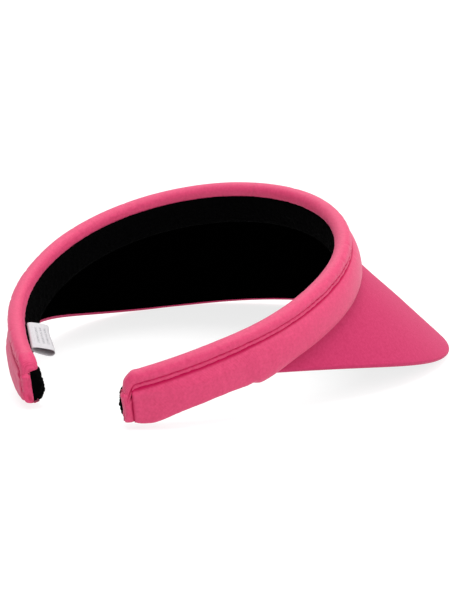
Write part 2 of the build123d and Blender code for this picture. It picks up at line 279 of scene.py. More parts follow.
def make_tube(name, points, uv, side, crease=None):
    """Closed tube from rows of section loops, in the band frame."""
    rows, columns = points.shape[:2]
    return make_object(name, to_row(points), tube_faces(rows, columns, side < 0), uv, crease)


def finish_piece(piece, material):
    """Give a piece its material."""
    piece.data.materials.clear()
    piece.data.materials.append(material)
    return piece


# Materials


def new_material(name):
    """Empty node material with its tree, surface shader and output."""
    material = bpy.data.materials.new(name)
    material.use_nodes = True
    tree = material.node_tree
    return material, tree, tree.nodes["Principled BSDF"]


def add_node(tree, kind, **settings):
    """Node with some of its properties and inputs set by name."""
    node = tree.nodes.new(kind)
    for key, value in settings.items():
        if key in node.inputs:
            node.inputs[key].default_value = value
        else:
            setattr(node, key, value)
    return node


def calculate(tree, operation, *values):
    """Result of a math node whose inputs are sockets or plain numbers."""
    node = add_node(tree, "ShaderNodeMath", operation=operation)
    for place, value in enumerate(values):
        if isinstance(value, (int, float)):
            node.inputs[place].default_value = value
        else:
            tree.links.new(value, node.inputs[place])
    return node.outputs["Value"]


def mix_colour(tree, share, base, added):
    """Colour socket that goes from a base socket to an added colour by a share."""
    mixer = add_node(tree, "ShaderNodeMix", data_type="RGBA")
    colours = [socket for socket in mixer.inputs if socket.type == "RGBA"]
    tree.links.new(share, mixer.inputs["Factor"])
    tree.links.new(base, colours[0])
    colours[1].default_value = added
    return next(socket for socket in mixer.outputs if socket.type == "RGBA")


def noise_texture(tree, source, **settings):
    """Noise over the given coordinates."""
    texture = add_node(tree, "ShaderNodeTexNoise", **settings)
    tree.links.new(source, texture.inputs["Vector"])
    return texture.outputs["Fac"]


def two_tones(tree, share, dark, light, start=0.0, end=1.0):
    """Colour socket of a ramp between two display colours."""
    tones = add_node(tree, "ShaderNodeValToRGB")
    for element, colour, position in zip(tones.color_ramp.elements, (dark, light), (start, end)):
        element.color = linear(colour)
        element.position = position
    tree.links.new(share, tones.inputs["Fac"])
    return tones.outputs["Color"]


def add_bump(tree, shader, height, strength, distance):
    """Fine relief of a surface, its depth in metres."""
    bump = add_node(tree, "ShaderNodeBump", Strength=strength, Distance=distance)
    tree.links.new(height, bump.inputs["Height"])
    tree.links.new(bump.outputs["Normal"], shader.inputs["Normal"])


def linear(colour):
    """Scene-linear colour of a display colour given as 0 to 255."""
    part = np.asarray(colour, float) / 255
    value = np.where(part <= 0.04045, part / 12.92, ((part + 0.055) / 1.055) ** 2.4)
    return (*value.tolist(), 1.0)


def fabric(
    name, dark, light, painted_shade_colour, pitch=0.35, relief=0.06, sheen=0.35, rough=0.85, shine=0.25, edge_shade=0.0
):
    """Woven cloth: crossed yarns that follow the map, fine colour variation, and painted shade in creases.

    The colour also turns to the painted shade colour by edge_shade where the cloth is seen edge-on, as
    painted shade at its silhouettes.
    """
    material, tree, shader = new_material(name)
    place = add_node(tree, "ShaderNodeTexCoord")
    scale = add_node(tree, "ShaderNodeMapping")
    scale.inputs["Scale"].default_value = (1 / pitch, 1 / pitch, 1)
    tree.links.new(place.outputs["UV"], scale.inputs["Vector"])
    yarns = []
    for direction in ("X", "Y"):
        wave = add_node(tree, "ShaderNodeTexWave", bands_direction=direction, Scale=pi / 10)
        wave.wave_profile = "SIN"
        wave.inputs["Distortion"].default_value = 0.6
        wave.inputs["Detail"].default_value = 1.0
        tree.links.new(scale.outputs["Vector"], wave.inputs["Vector"])
        yarns.append(wave.outputs["Fac"])
    weave = calculate(tree, "MULTIPLY", *yarns)
    cloud = noise_texture(tree, place.outputs["Object"], Scale=900.0, Detail=4.0, Roughness=0.6)
    grain = noise_texture(tree, place.outputs["Object"], Scale=2200.0, Detail=2.0)
    woven = calculate(tree, "MULTIPLY", weave, 1 - MOTTLE)
    tone = calculate(tree, "MULTIPLY_ADD", cloud, MOTTLE, woven)
    cloth = two_tones(tree, tone, dark, light, 0.1, 0.75)
    # Painted shade: the crease share and the edge-on view mix the cloth toward the painted shade colour
    crease = add_node(tree, "ShaderNodeAttribute", attribute_name="crease").outputs["Fac"]
    facing = add_node(tree, "ShaderNodeLayerWeight", Blend=0.5).outputs["Facing"]
    grazing = calculate(tree, "POWER", facing, 3.0)
    shaded = calculate(tree, "MAXIMUM", crease, calculate(tree, "MULTIPLY", grazing, edge_shade))
    tree.links.new(mix_colour(tree, shaded, cloth, linear(painted_shade_colour)), shader.inputs["Base Color"])
    add_bump(tree, shader, calculate(tree, "MULTIPLY_ADD", grain, 0.35, weave), 0.5, relief / 1000)
    shader.inputs["Roughness"].default_value = rough
    for quality, amount in (("Specular IOR Level", shine), ("Sheen Weight", sheen)):
        open_cloth = calculate(tree, "MULTIPLY_ADD", crease, -amount, amount)
        tree.links.new(open_cloth, shader.inputs[quality])
    shader.inputs["Sheen Roughness"].default_value = 0.5
    shader.inputs["Sheen Tint"].default_value = linear([0.5 * (part + 255) for part in light])
    return material


def print_bars(material):
    """Four rows of blurred grey dashes across the upper ply of a ribbon, standing for its print."""
    tree = material.node_tree
    shader = tree.nodes["Principled BSDF"]
    cloth = shader.inputs["Base Color"].links[0].from_socket
    place = add_node(tree, "ShaderNodeTexCoord")
    split = add_node(tree, "ShaderNodeSeparateXYZ")
    tree.links.new(place.outputs["UV"], split.inputs["Vector"])
    along, down = split.outputs["X"], split.outputs["Y"]
    ink = calculate(tree, "GREATER_THAN", calculate(tree, "PINGPONG", down, 0.95), 0.52)
    dashes = noise_texture(tree, place.outputs["UV"], Scale=1.6, Detail=1.0)
    masks = (
        calculate(tree, "GREATER_THAN", dashes, 0.47),
        calculate(tree, "GREATER_THAN", down, 1.3),
        calculate(tree, "LESS_THAN", down, 8.4),
        calculate(tree, "GREATER_THAN", along, -6.5),
        calculate(tree, "LESS_THAN", along, 6.0),
    )
    for mask in masks:
        ink = calculate(tree, "MULTIPLY", ink, mask)
    faint = calculate(tree, "MULTIPLY", ink, 0.75)
    tree.links.new(mix_colour(tree, faint, cloth, linear((128, 128, 132))), shader.inputs["Base Color"])


def terry_material():
    """Black looped terry: clumps of pile that catch a little light on their tips."""
    material, tree, shader = new_material("black_terry")
    place = add_node(tree, "ShaderNodeTexCoord").outputs["Object"]
    loops = add_node(tree, "ShaderNodeTexVoronoi", Scale=1300.0, Randomness=1.0)
    tree.links.new(place, loops.inputs["Vector"])
    clumps = noise_texture(tree, place, Scale=420.0, Detail=5.0, Roughness=0.7)
    pile = calculate(tree, "MULTIPLY", loops.outputs["Distance"], clumps)
    tree.links.new(two_tones(tree, pile, (0, 0, 0), (6, 6, 7)), shader.inputs["Base Color"])
    add_bump(tree, shader, pile, 0.9, 0.0004)
    shader.inputs["Roughness"].default_value = 1.0
    shader.inputs["Specular IOR Level"].default_value = 0.03
    return material


def thread_material():
    """Sewing thread: twisted plies a shade deeper than the cloth."""
    material, tree, shader = new_material("pink_thread")
    place = add_node(tree, "ShaderNodeTexCoord").outputs["Object"]
    twist = add_node(tree, "ShaderNodeTexWave", bands_direction="DIAGONAL", Scale=1500.0)
    tree.links.new(place, twist.inputs["Vector"])
    plies = twist.outputs["Fac"]
    tree.links.new(two_tones(tree, plies, (176, 10, 70), (204, 26, 88)), shader.inputs["Base Color"])
    add_bump(tree, shader, plies, 0.5, 0.00008)
    shader.inputs["Roughness"].default_value = 0.8
    shader.inputs["Specular IOR Level"].default_value = 0.1
    return material


def plain_material(name, dark, light, scale, rough, metal=0.0):
    """Moulded, foamed or rolled stuff: two tones of fine noise with a matching bump."""
    material, tree, shader = new_material(name)
    place = add_node(tree, "ShaderNodeTexCoord").outputs["Object"]
    grain = noise_texture(tree, place, Scale=scale, Detail=3.0)
    tree.links.new(two_tones(tree, grain, dark, light), shader.inputs["Base Color"])
    add_bump(tree, shader, grain, 0.3, 0.0001)
    shader.inputs["Roughness"].default_value = rough
    shader.inputs["Metallic"].default_value = metal
    return material


twill = fabric(
    "pink_twill", (184, 22, 76), (222, 62, 116), (172, 6, 66),
    pitch=0.4, rough=0.55, shine=0.5, edge_shade=0.75,
)
# Brim: the same pink twill with darker tones, painted shade to offset the extra light that the brim's sloping
# top catches
shaded_brim_twill = fabric("pink_brim_twill_painted_shade", (164, 24, 72), (196, 56, 104), (150, 8, 60), pitch=0.4, sheen=0.1)
lining_cloth = fabric(
    "black_lining", (0, 0, 0), (1, 1, 1), (0, 0, 0), pitch=0.3, sheen=0.0, rough=1.0, shine=0.0
)
satin = fabric(
    "label_satin", (176, 174, 177), (200, 198, 201), (120, 120, 122), pitch=0.16, relief=0.02, rough=0.5
)
print_bars(satin)
terry = terry_material()
thread = thread_material()
foam = plain_material("padding_foam", (176, 174, 164), (206, 204, 196), scale=900.0, rough=0.95)
board = plain_material("brim_board", (205, 205, 200), (222, 222, 216), scale=300.0, rough=0.5)
spring_steel = plain_material(
    "spring_steel", (120, 122, 126), (150, 152, 156), scale=500.0, rough=0.3, metal=1.0
)


# Band: roll cover, outer panel and terry, each made as a right and a left half


def stitch_dimple(length):
    """Depth of the stitch line's groove along the band: deepest where the thread goes in."""
    return 0.75 + 0.25 * np.cos(2 * pi * length / STITCH_PITCH)


def simulate_sheet(girth, crown, sewn, grow, pressure, cap):
    """Outward billow of a padded sheet that is held along its sewn lines, by cloth simulation.

    The sheet is the whole cover laid flat, from tip to tip. It wants to be larger than its
    place by a share, so it puckers between its stitches, and the padding's pressure swells it.
    """
    along = np.arange(-ARM_LENGTH, ARM_LENGTH + GRID, GRID)
    across = np.linspace(0, girth, int(girth / GRID) + 1)
    arch = crown * np.sin(pi * across / girth)[None, :]
    start = arch + 0.02 * noise(along[:, None], across[None, :], 301)
    grid = np.stack([*np.meshgrid(along, across, indexing="ij"), start], -1) * SIM_SCALE
    rows, columns = start.shape
    faces = [
        (i * columns + j, (i + 1) * columns + j, (i + 1) * columns + j + 1, i * columns + j + 1)
        for i in range(rows - 1)
        for j in range(columns - 1)
    ]
    sheet = make_object("cloth_sheet", grid, faces)
    hold = sheet.vertex_groups.new(name="sewn")
    held = sewn(along[:, None], across[None, :])
    hold.add(np.flatnonzero(held).tolist(), 1.0, "REPLACE")
    cloth = sheet.modifiers.new("cloth", "CLOTH")
    cloth.settings.quality = 6
    cloth.settings.vertex_group_mass = "sewn"
    cloth.settings.effector_weights.gravity = 0
    cloth.settings.use_pressure = True
    cloth.settings.uniform_pressure_force = pressure
    cloth.settings.shrink_min = -grow
    cloth.settings.tension_stiffness = 15
    cloth.settings.compression_stiffness = 15
    cloth.settings.bending_stiffness = 0.3
    cloth.collision_settings.use_collision = False
    for step in range(SIM_FRAMES):
        bpy.context.scene.frame_set(step + 1)
    solved = sheet.evaluated_get(bpy.context.evaluated_depsgraph_get()).data
    place = np.zeros(rows * columns * 3, np.float32)
    solved.vertices.foreach_get("co", place)
    lift = place.reshape(rows, columns, 3)[..., 2] / SIM_SCALE - arch
    bpy.data.objects.remove(sheet)
    bpy.context.scene.frame_set(1)
    return along, across, np.clip(lift, -0.25 * cap, cap)


def spread(billow, place, travel):
    """Simulated billow at places along the band and distances over the cover."""
    along, across, lift = billow
    place, travel = np.broadcast_arrays(place, travel)
    row = np.clip((place - along[0]) / GRID, 0, len(along) - 1.001)
    column = np.clip(travel / (across[1] - across[0]), 0, len(across) - 1.001)
    i, j = row.astype(int), column.astype(int)
    u, v = row - i, column - j
    low = lift[i, j] * (1 - v) + lift[i, j + 1] * v
    high = lift[i + 1, j] * (1 - v) + lift[i + 1, j + 1] * v
    return low * (1 - u) + high * u


def sewn_roll(along, across):
    """Held points of the roll's cover: both seams, and each stitch of the topstitching."""
    edges = (across < 0.5) | (across > ROLL_GIRTH - 0.5)
    stitch = (np.abs(across - 2.6) < 0.6) & (np.abs((along % STITCH_PITCH) - STITCH_PITCH / 2) < 0.75)
    return edges | stitch


def sewn_panel(along, across):
    """Held points of the outer panel: its upper seam and its lower edge."""
    edges = (across < 0.5) | (across > PANEL_GIRTH - 2.5)
    return np.broadcast_to(edges, (len(along), edges.shape[1]))


roll_billow = simulate_sheet(ROLL_GIRTH, crown=1.0, sewn=sewn_roll, grow=0.05, pressure=2.0, cap=0.6)
panel_billow = simulate_sheet(PANEL_GIRTH, crown=0.8, sewn=sewn_panel, grow=0.05, pressure=1.5, cap=0.6)


def deepen(height, length):
    """Heights of the band's section, drawn out downward over the brim's corner and before the end."""
    extra = ARM_DEEPER * ramp(length, ARM_LENGTH - 34, ARM_LENGTH - 12)
    extra = extra + 1.9 * bell(length, 152, 11)
    extra = extra + 1.1 * bell(length, 192, 5)
    extra = extra - 1.4 * ramp(length, 195, ARM_LENGTH)
    return height - extra * np.clip((height + 2) / (BAND_BOTTOM + 2), 0, 1.1)


def end_taper(length):
    """How much thinner the outer side of an arm gets toward its end."""
    return 1.1 * ramp(length, ARM_LENGTH - 20, ARM_LENGTH - 3) - 0.7 * bell(length, ARM_LENGTH - 30, 11)


def close_loop(face, back):
    """Rows of a section's outer face, each followed by the fixed points that close its loop."""
    return np.hstack([face, np.broadcast_to(back, (len(face), len(back)))])


def cloth_map(length, travel, girth, hidden, reach=LOOP_BACK):
    """Map of a cover: length along the band, then distance over its face and its hidden side."""
    across = np.concatenate([travel[0] * girth, girth + np.linspace(0, reach, hidden)])
    return np.stack(np.broadcast_arrays(length, across[None, :]), -1)


def roll_rows(side, seed):
    """Rows of the padded roll's cover, from the forehead to the closed tip."""
    outer = [
        (2.5, -2.5), (3.1, -2.4), (3.4, -1.9), (3.5, -1.2), (3.5, -0.4), (3.4, 0.6), (3.1, 1.5),
        (2.6, 2.35), (1.9, 2.95), (1.0, 3.3), (0, 3.4), (-1.1, 3.25), (-2.05, 2.8), (-2.85, 2.1),
        (-3.35, 1.2), (-3.5, 0.1), (-3.45, -1.0), (-3.1, -1.75), (-2.3, -2.1),
    ]
    inner = [
        (-2.2, -1.3), (-2.5, 0), (-2.2, 1.3), (-1.3, 2.2), (0, 2.55), (1.3, 2.2), (2.2, 1.3), (2.5, 0),
        (2.5, -1.2), (2.3, -2.1),
    ]
    face = resample(outer, 66)
    back = resample(inner, 22)
    length = np.linspace(0, ARM_LENGTH, int(ARM_LENGTH / STEP))[:, None]
    place = side * length
    angle = np.degrees(np.arctan2(face[:, 1], face[:, 0]))[None, :]
    travel = np.linspace(0, 1, len(face))[None, :]
    edge = ramp(travel, 0, 0.05) * (1 - ramp(travel, 0.94, 1))
    groove = 0.62 * bell(angle, STITCH_ANGLE, 7.0) * stitch_dimple(length)
    pucker = noise(place / 2.6, angle / 70, seed) * 0.05 * bell(angle, STITCH_ANGLE, 26)
    inner_rib = noise(place / 2.2, angle / 90, seed + 2) * 0.10 * bell(np.abs(angle), 180, 50)
    swell = noise(place / 17, angle / 90, seed + 3) * 0.1
    billow = spread(roll_billow, place, travel * ROLL_GIRTH)
    lift = np.maximum(pucker + inner_rib + swell + 0.45 * billow - 0.2 - groove, -0.7) * edge
    size = np.linalg.norm(face, axis=1)[None, :]
    past_stitches = ramp(travel, 0.25, 0.45) * (1 - ramp(travel, 0.8, 0.97))
    slim = 1 - 0.13 * bell(length, 146, 24) * past_stitches
    offset = close_loop(face[:, 0][None, :] * (1 + lift / size) * slim, back[:, 0])
    height = close_loop(face[:, 1][None, :] * (1 + lift / size) * slim, back[:, 1])
    near_tip = np.clip((length - (ARM_LENGTH - TIP_LENGTH)) / TIP_LENGTH, 0, 1)
    shrink = np.sqrt(np.maximum(1 - near_tip**2.8, 0.0025))
    turn = np.arctan2(height, offset)
    wrinkled = ramp(length, ARM_LENGTH - 9, ARM_LENGTH - 2)
    crease = 1 + 0.07 * noise(turn * 1.7 + length / 3, length / 2.5, seed + 4) * wrinkled
    sagging = ramp(offset, -2.6, 0.8) * ramp(-height, -2.2, 1.8)
    sag = TIP_SAG * ramp(length, ARM_LENGTH - 4.5, ARM_LENGTH - 0.4) * sagging
    offset = offset * shrink * crease + 0.25 * sag
    droop = TIP_DROOP * ramp(length, ARM_LENGTH - 5.5, ARM_LENGTH)
    height = -1.3 + (height + 1.3) * shrink * crease - sag - droop
    points = band_points(length, offset, height, side)
    uv = cloth_map(length, travel, ROLL_GIRTH, len(back))
    # Painted shade in the stitch groove and along both seams of the roll, stored as the crease share
    dark = 0.8 * bell(angle, STITCH_ANGLE, 4.5) + 0.9 * (1 - ramp(travel, 0.0, 0.06))
    dark = dark + 0.6 * ramp(travel, 0.93, 0.99)
    shade = np.zeros(offset.shape)
    shade[:, : len(face)] = np.clip(dark, 0, 1)
    return points, uv, shade


def panel_rows(side, seed):
    """Rows of the outer panel: puffed between the seam and its lower edge, ribbed by tension."""
    over_brim = [
        (2.8, -1.6), (3.05, -2.1), (3.35, -2.5), (3.8, -3.1), (4.5, -4.4), (5.25, -6.4), (5.8, -8.9),
        (6.0, -11.4), (5.95, -13.4), (5.6, -14.9), (5.1, -15.6), (4.3, -15.95), (3.4, -15.95),
        (2.7, -15.7),
    ]
    closed = [
        (2.8, -1.6), (3.05, -2.1), (3.3, -2.5), (3.65, -3.1), (4.2, -4.4), (4.7, -6.4), (5.0, -8.9),
        (5.05, -11.4), (5.0, -13.4), (4.7, -14.7), (4.1, -15.3), (2.9, -15.6), (0.9, -15.6),
        (-1.7, -15.1),
    ]
    over_brim_back = [
        (2.7, -15.3), (3.5, -15.2), (4.5, -14.4), (5.1, -13), (5.2, -11), (4.9, -8.5), (4.1, -6),
        (3.1, -4), (2.5, -2.9), (2.4, -2.2),
    ]
    closed_back = [
        (-1.7, -14.6), (1.2, -15.0), (3.7, -14.2), (4.2, -13), (4.3, -11), (4.1, -8.5), (3.6, -6),
        (3.0, -4), (2.5, -2.9), (2.4, -2.2),
    ]
    over_brim = resample(over_brim, 60)
    closed = resample(closed, 60)
    over_brim_back = resample(over_brim_back, 24)
    closed_back = resample(closed_back, 24)
    last = ARM_LENGTH - TAB_WIDTH
    length = np.linspace(0, last, int(last / STEP))[:, None]
    on_arm = ramp(length, SIDE_LENGTH - 1, SIDE_LENGTH + 5)
    place = side * length
    offset = blend_values(over_brim[:, 0][None, :], closed[:, 0][None, :], on_arm)
    height = blend_values(over_brim[:, 1][None, :], closed[:, 1][None, :], on_arm)
    travel = np.linspace(0, 1, len(over_brim))[None, :]
    edge = ramp(travel, 0.08, 0.2) * (1 - ramp(travel, 0.7, 0.85))
    upper = noise(place / 1.9, height / 9, seed) * 0.10 * bell(height, -4.2, 2.4)
    lower = noise(place / 2.4, height / 8, seed + 1) * 0.12 * bell(height, -14.0, 3.6)
    ribs = noise(place / 1.1, height / 26, seed + 2) * 0.09 * ramp(length, 105, 150)
    swell = noise(place / 15, height / 9, seed + 3) * 0.08
    billow = spread(panel_billow, place, travel * PANEL_GIRTH)
    end_fold = noise(length / 3 + height / 5, height / 4, seed + 4) * 0.3 * ramp(length, last - 16, last)
    relief = np.maximum(upper + lower + ribs + swell + 0.5 * billow - 0.1 + end_fold, -0.3) * edge
    seam = 0.5 * ramp(length, last - 1.8, last) * ramp(travel, 0.1, 0.2) * (1 - ramp(travel, 0.75, 0.85))
    taper = end_taper(length) * ramp(travel, 0.12, 0.3) * (1 - ramp(travel, 0.85, 1))
    offset = offset + relief - seam - taper
    height = height + noise(place / 9, 0.5, seed + 5) * 0.15 * ramp(travel, 0.6, 0.75)
    back = blend_values(over_brim_back[None, :, :], closed_back[None, :, :], on_arm[..., None])
    inner_taper = end_taper(length) * ramp(back[..., 0], 1.0, 3.5)
    offset = np.hstack([offset, back[..., 0] - inner_taper])
    height = np.hstack([height, back[..., 1]])
    points = band_points(length, offset, deepen(height, length), side)
    uv = cloth_map(length, travel, PANEL_GIRTH, back.shape[1])
    shade = np.zeros(offset.shape)
    # Painted shade along the panel's upper seam and at its end seam, stored as the crease share
    dark = 0.9 * (1 - ramp(travel, 0.05, 0.11)) + 0.7 * ramp(length, last - 0.8, last)
    shade[:, : len(over_brim)] = np.clip(dark, 0, 1)
    return points, uv, shade


def terry_rows(side, seed):
    """Rows of the terry sweatband, which also wraps round the end of the arm."""
    outer = [
        (-1.2, -1.9), (0, -2.0), (0.55, -2.5), (0.85, -4.2), (1.0, -7.5), (0.95, -11), (0.65, -13.9),
        (0.1, -15.1), (-1.2, -15.3),
    ]
    face = resample(outer, 46)
    back = resample([(-1.4, -14.6), (-1.4, -8), (-1.4, -2.5)], 8)
    turn = 2.7
    straight = ARM_LENGTH - turn
    flat = np.linspace(0, straight, int(straight / 0.4))
    around = np.linspace(0, pi * 0.93, 30)[1:]
    along = np.concatenate([flat, straight + turn * np.sin(around)])
    travel = np.concatenate([flat, straight + turn * around])
    backward = np.concatenate([0 * flat, np.sin(around)])[:, None]
    outside = np.concatenate([0 * flat - 1, -np.cos(around)])[:, None]
    height = np.broadcast_to(face[:, 1][None, :], (len(along), len(face)))
    share = np.linspace(0, 1, len(face))[None, :]
    edge = ramp(share, 0.04, 0.16) * (1 - ramp(share, 0.84, 0.97))
    place = side * travel[:, None]
    clump = noise(place / 1.25, height / 1.25, seed) * 0.26
    loops = noise(place / 0.62, height / 0.62, seed + 1) * 0.3
    swell = noise(place / 9, height / 6, seed + 2) * 0.4
    at_end = ramp(travel, straight - 4, straight + 3)[:, None]
    pillow = 1.0 * at_end * np.sin(np.clip((-height - 1.9) / 13.2, 0, 1) * pi)
    under_fold = ramp(outside, -0.35, 0.35)
    pile = (clump + loops + swell) * edge * (1 - 0.7 * under_fold)
    rise = face[:, 0][None, :] * (1 - 0.5 * under_fold) + pile + pillow * (1 - under_fold)
    rise = close_loop(rise, back[:, 0])
    height = close_loop(height, back[:, 1])
    length = along[:, None] + backward * rise
    offset = TERRY_MIDDLE + outside * (TERRY_REACH + rise)
    points = band_points(length, offset, deepen(height, along[:, None]), side)
    return points, cloth_map(travel[:, None], share, 15, len(back))


def tab_rows(side, seed):
    """Rows of the end fold: the panel's cloth turned round the end of the arm and sewn into folds."""
    corner = 1.6
    end_face = 0.5  # how far inward the fold reaches across the end
    outer = [
        (3.0, -2.1), (3.4, -2.6), (4.2, -4.4), (4.7, -6.6), (4.95, -9.5), (4.9, -12.4), (4.6, -14.3),
        (4.0, -15.2), (2.8, -15.6), (0.9, -15.5), (-1.6, -15.0),
    ]
    hidden = [
        (-1.6, -14.5), (1.2, -14.9), (2.6, -13.8), (2.9, -11), (2.7, -8), (2.4, -5), (2.2, -3),
    ]
    face = resample(outer, 54)
    back = resample(hidden, 16)
    straight = TAB_WIDTH - corner
    bend = np.linspace(0, pi / 2, 14)[1:, None]
    lay = np.linspace(0, straight, 14)[:, None]
    inward = np.linspace(0, 1, 7)[1:, None]
    start = ARM_LENGTH - TAB_WIDTH
    width = face[:, 0][None, :] - end_taper(ARM_LENGTH) * ramp(face[:, 0], 1.0, 3.5)[None, :]
    turn = np.minimum(corner, np.maximum(width - end_face, 0) + 0.05)
    along = np.vstack([start + lay + 0 * width, ARM_LENGTH - corner + corner * np.sin(bend) + 0 * width])
    along = np.vstack([along, ARM_LENGTH + 0.7 * ramp(inward, 0, 0.7) + 0 * width])
    reach = np.vstack([width + 0 * lay, width - turn * (1 - np.cos(bend))])
    reach = np.vstack([reach, width - turn - inward * np.maximum(width - turn - end_face, 0)])
    lean_out = np.concatenate([np.ones(14), np.cos(bend[:, 0]), np.zeros(6)])[:, None]
    lean_back = np.concatenate([np.zeros(14), np.sin(bend[:, 0]), np.ones(6)])[:, None]
    travel = np.concatenate([lay[:, 0], straight + corner * bend[:, 0], TAB_WIDTH + 1 + 2 * inward[:, 0]])
    height = np.broadcast_to(face[:, 1][None, :], along.shape)
    share = np.linspace(0, 1, len(face))[None, :]
    edge = ramp(share, 0.02, 0.12) * (1 - ramp(share, 0.72, 0.9))
    diagonal = travel[:, None] * 0.75 + height * 0.55
    folds = noise(diagonal / 1.25, height / 14, seed) * 0.8
    crumple = noise(travel[:, None] / 1.4, height / 2.0, seed + 1) * 0.35
    lobe = 0.75 * bell(travel, 2.6, 1.6)[:, None]
    tuck = -0.5 * (1 - ramp(travel, 0.1, 1.2))[:, None]
    rise = (folds + crumple + lobe + tuck) * edge
    along = along + lean_back * rise
    reach = reach + lean_out * rise
    inside = np.minimum(along[:, :1] - 0.4, ARM_LENGTH - 1.0)
    along = np.hstack([along, np.repeat(inside, len(back), 1)])
    reach = close_loop(reach, back[:, 0])
    height = close_loop(height, back[:, 1])
    points = band_points(along, reach, deepen(height, along), side)
    uv = cloth_map(travel[:, None], share, PANEL_GIRTH, len(back), 10)
    shade = np.zeros(along.shape)
    # Painted shade where the end fold meets the panel, stored as the crease share
    shade[:, : len(face)] = 0.8 * (1 - ramp(travel, 0.1, 0.7))[:, None]
    return points, uv, shade


def foam_rows(side):
    """Rows of the foam inside one arm, from its knuckle to the end."""
    outline = [
        (-1.6, -14.5), (-1.6, -2.1), (-2.3, -0.6), (-2.2, 1.0), (-1.2, 2.2), (0.3, 2.45), (1.8, 1.8),
        (2.45, 0.3), (2.45, -2.6), (3.1, -4.6), (3.7, -7.0), (4.0, -10.0), (3.9, -13.0), (3.2, -14.5),
    ]
    outline = resample(outline, 48)
    length = np.linspace(FLEX_LENGTH - 3.5, ARM_LENGTH - 4.0, 90)[:, None]
    height = deepen(outline[:, 1][None, :], length)
    height = height - 2.6 * ramp(length, ARM_LENGTH - 9, ARM_LENGTH - 3) * ramp(height, -4, 0)
    offset = outline[:, 0][None, :] - end_taper(length).clip(0) * ramp(outline[:, 0], 1.0, 3.5)[None, :]
    points = band_points(length, offset, height, side)
    uv = np.stack(np.broadcast_arrays(length, np.linspace(0, 40, len(outline))[None, :]), -1)
    return points, uv


def bend_with_arm(piece):
    """Bake the placement of a half of the band's fabric into its mesh."""
    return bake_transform(piece)


for side, word in SIDES:
    points, uv, shade = roll_rows(side, SEED)
    roll = make_tube(f"{word}_roll_cover", points, uv, side, shade)
    finish_piece(roll, twill)
    bend_with_arm(roll)
    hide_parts("front_roll", f"{word}_roll")
    points, uv, shade = panel_rows(side, SEED + 10)
    panel = make_tube(f"{word}_outer_panel", points, uv, side, shade)
    finish_piece(panel, twill)
    bend_with_arm(panel)
    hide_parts("front_panel", f"{word}_panel")
    band = make_tube(f"{word}_terry", *terry_rows(side, SEED + 20), -side)
    finish_piece(band, terry)
    bend_with_arm(band)
    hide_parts("front_sweatband", f"{word}_sweatband")
    points, uv, shade = tab_rows(side, SEED + 30)
    tab = make_tube(f"{word}_end_fold", points, uv, side, shade)
    finish_piece(tab, twill)
    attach(tab, f"{word}_arm")
    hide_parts(f"{word}_end_tab")
    core = make_tube(f"{word}_padding", *foam_rows(side), side)
    finish_piece(core, foam)
    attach(core, f"{word}_arm")
    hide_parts(f"{word}_foam")


# Brim


def clamped_spline(points, first, last, count):
    """Smooth curve through points with unit end directions, sampled evenly."""
    points = np.asarray(points, float)
    span = np.linalg.norm(np.diff(points, axis=0), axis=1)
    knots = np.concatenate([[0], np.cumsum(span)])
    size = len(points)
    system = np.zeros((size, size))
    goal = np.zeros((size, 2))
    system[0, 0] = system[-1, -1] = 1
    goal[0] = np.array(first) / np.linalg.norm(first)
    goal[-1] = np.array(last) / np.linalg.norm(last)
    for i in range(1, size - 1):
        before, after = span[i - 1], span[i]
        system[i, i - 1 : i + 2] = (after, 2 * (before + after), before)
        rise = (points[i] - points[i - 1]) / before * after + (points[i + 1] - points[i]) / after * before
        goal[i] = 3 * rise
    slopes = np.linalg.solve(system, goal)
    wanted = np.linspace(0, knots[-1], count)
    index = np.clip(np.searchsorted(knots, wanted, side="right") - 1, 0, size - 2)
    width = span[index][:, None]
    part = ((wanted - knots[index]) / span[index])[:, None]
    near = points[index] * (1 + 2 * part) * (1 - part) ** 2 + slopes[index] * width * part * (1 - part) ** 2
    far = points[index + 1] * part**2 * (3 - 2 * part) + slopes[index + 1] * width * part**2 * (part - 1)
    return near + far


rim_line = clamped_spline(RIM, RIM_BACK_SLOPE, RIM_FRONT_SLOPE, 400)
back_line = np.array([[-60.0, -12.0], [-50.0, -14.0], [-46.5, -15.4]])
rim_line = np.vstack([back_line, rim_line])
slope_out = sin(radians(BRIM_FLARE))
slope_down = cos(radians(BRIM_FLARE))


def brim_place(length, down, raised, side):
    """Point of the brim: a distance down its slope from the band, raised off its inner face."""
    offset = BRIM_INNER + down * slope_out + raised * slope_down
    height = BAND_BOTTOM - down * slope_down + raised * slope_out
    return band_points(np.abs(length), offset, height, side)


def brim_depth(length):
    """Distance down the brim's slope from the band to the rim, at each length."""
    low = np.zeros(len(length))
    high = np.full(len(length), 110.0)
    for _ in range(40):
        middle = (low + high) / 2
        spot = brim_place(length, middle, BRIM_THICKNESS / 2, 1)
        inside = spot[:, 2] > np.interp(spot[:, 1], rim_line[:, 0], rim_line[:, 1])
        low = np.where(inside, middle, low)
        high = np.where(inside, high, middle)
    return low


half = np.linspace(0, SIDE_LENGTH - 0.4, 155)
brim_length = np.concatenate([-half[:0:-1], half])
depth = brim_depth(np.abs(brim_length))


def brim_rows(section_at):
    """Rows of a brim layer from a function that gives the section at one depth."""
    points = []
    maps = []
    for place, reach in zip(brim_length, depth):
        down, raised = section_at(place, reach)
        side = 1 if place >= 0 else -1
        points.append(brim_place(np.full(len(down), place), down, raised, side))
        maps.append(np.stack([np.full(len(down), place), down], -1))
    return np.array(points), np.array(maps)


def brim_relief(place, down, reach):
    """Slight unevenness of the padded top of the brim."""
    slow = noise(place / 26, down / 24, 91) * 0.3
    pull = noise(place / 3.1, down / 30, 92) * 0.16 * np.exp(-down.clip(0) / 9)
    return (slow + pull) * ramp(down, -1, 4) * (1 - ramp(down, reach - 5, reach - 1))


